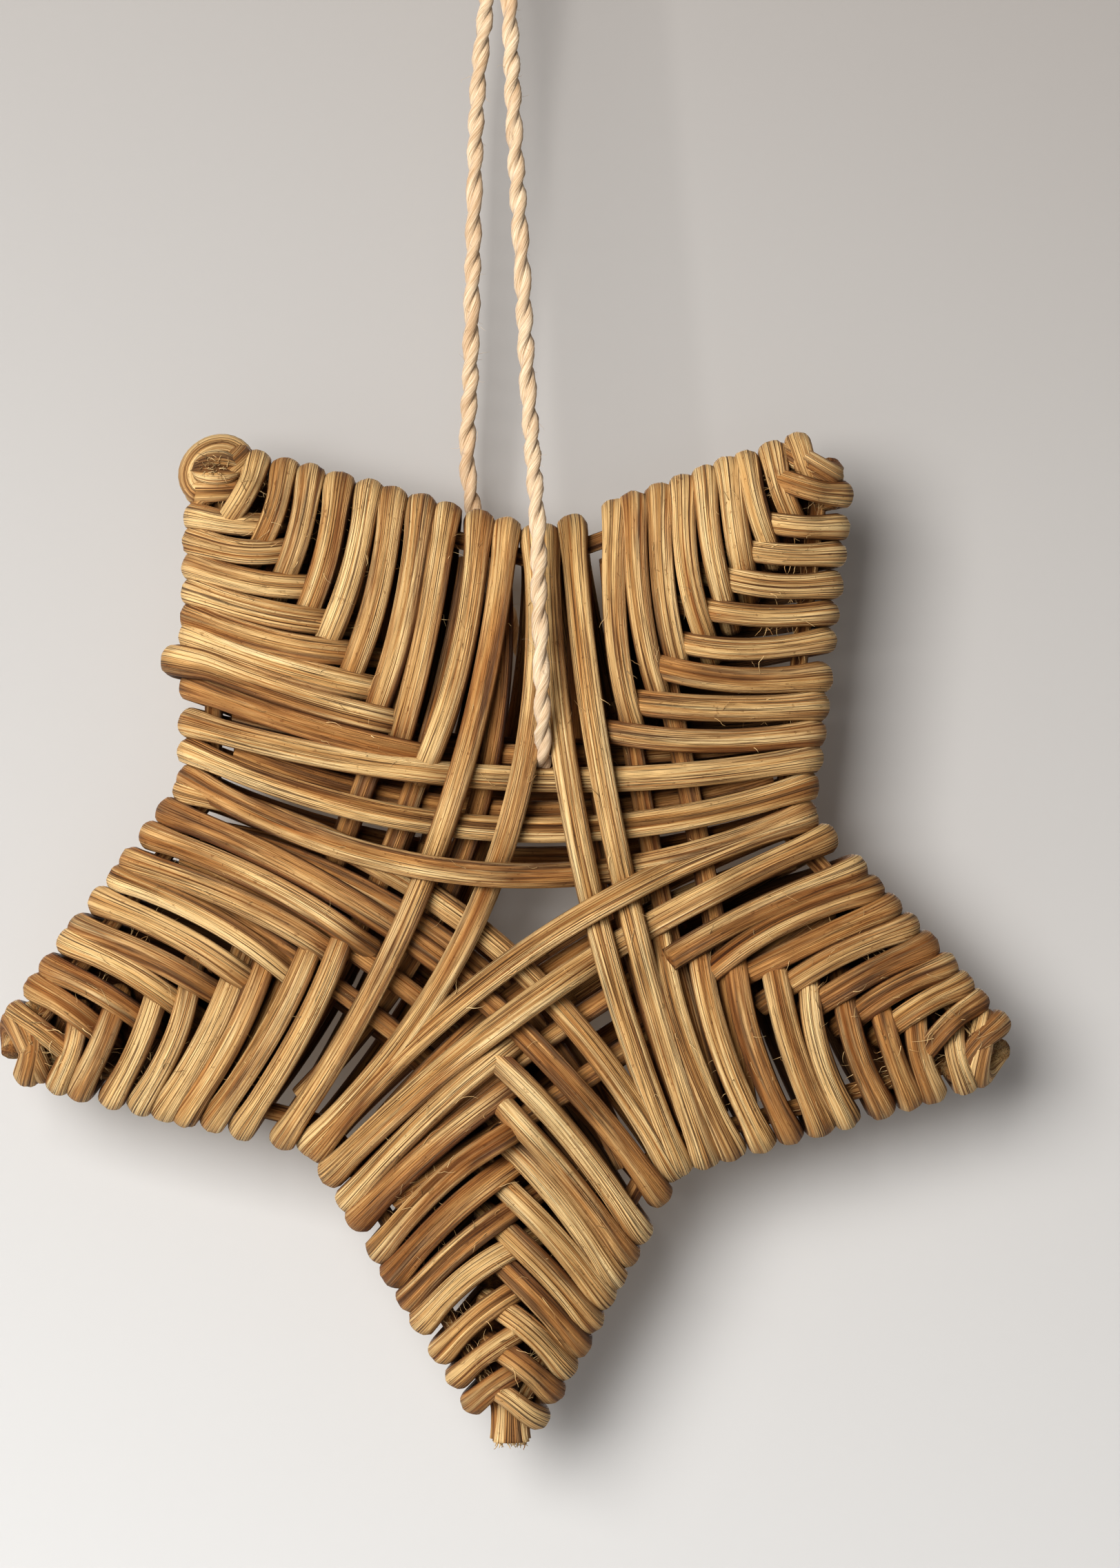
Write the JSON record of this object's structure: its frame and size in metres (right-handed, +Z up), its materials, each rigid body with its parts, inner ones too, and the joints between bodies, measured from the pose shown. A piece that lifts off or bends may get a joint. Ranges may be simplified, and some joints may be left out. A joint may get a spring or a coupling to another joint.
{
  "type": "rattan star ornament",
  "caption": "Hanging star ornament of wound rattan strands with a woven open centre, on a loop of jute twine.",
  "frame": {"origin": "the top of the twine's loop, where a hook or nail holds it; the star hangs below", "axes": "+X to the right seen from the front, +Y into the picture and away from the viewer, +Z up"},
  "size_m": [0.1594, 0.034, 0.2668],
  "materials": {
    "rattan": "natural peeled rattan, dry and streaked",
    "frame_rods": "natural rattan core, cut ends",
    "twine": "two-ply jute, fuzzy"
  },
  "bodies": {
    "root": {"arm_winding_right_upper": "rattan", "arm_winding_left_upper": "rattan", "arm_winding_left_lower": "rattan", "arm_winding_bottom": "rattan", "arm_winding_right_lower": "rattan", "frame_rod_top": "frame_rods", "frame_rod_left": "frame_rods", "frame_rod_bottom_left": "frame_rods", "frame_rod_bottom_right": "frame_rods", "frame_rod_right": "frame_rods", "centre_weave": "rattan", "hanging_twine": "twine"}
  },
  "joints": []
}
